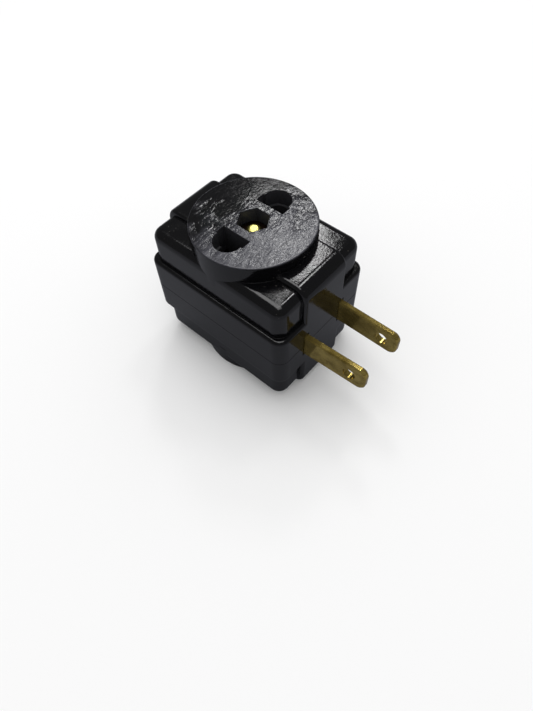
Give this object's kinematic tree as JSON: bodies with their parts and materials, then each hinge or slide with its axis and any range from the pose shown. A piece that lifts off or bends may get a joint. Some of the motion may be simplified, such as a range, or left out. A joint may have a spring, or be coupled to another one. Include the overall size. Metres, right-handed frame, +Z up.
{
  "type": "cube tap",
  "caption": "Two-pole cube tap: dark moulded block with flat plug blades at the front and flat-pin outlets on top, underside and rear.",
  "frame": {"origin": "midway between the two blades on the flat plug face, at mid height of the blades, on the plane where the two shells meet", "axes": "+X to the right across the blades, seen from the front; the blades point to -Y; +Z up, out of the top outlet face"},
  "size_m": [0.03, 0.0562, 0.0378],
  "materials": {
    "phenolic": "glossy black phenolic moulding, worn satin on the outlet faces",
    "blade_brass": "brushed and slightly tarnished brass",
    "contact_brass": "plain sheet brass",
    "rivet_brass": "plain turned brass",
    "screw_brass": "turned brass with a bright domed end",
    "steel_plate": "plated steel"
  },
  "bodies": {
    "root": {"upper_shell": "phenolic", "lower_shell": "phenolic", "blade_left": "blade_brass", "bus_left": "contact_brass", "top_clip_left": "contact_brass", "bottom_clip_left": "contact_brass", "rear_clip_left": "contact_brass", "blade_rivets_left": "rivet_brass", "clip_rivets_left": "rivet_brass", "blade_right": "blade_brass", "bus_right": "contact_brass", "top_clip_right": "contact_brass", "bottom_clip_right": "contact_brass", "rear_clip_right": "contact_brass", "blade_rivets_right": "rivet_brass", "clip_rivets_right": "rivet_brass", "clamp_screw": "screw_brass", "clamp_nut": "screw_brass", "flat_washer": "steel_plate", "spring_washer": "steel_plate"}
  },
  "joints": []
}
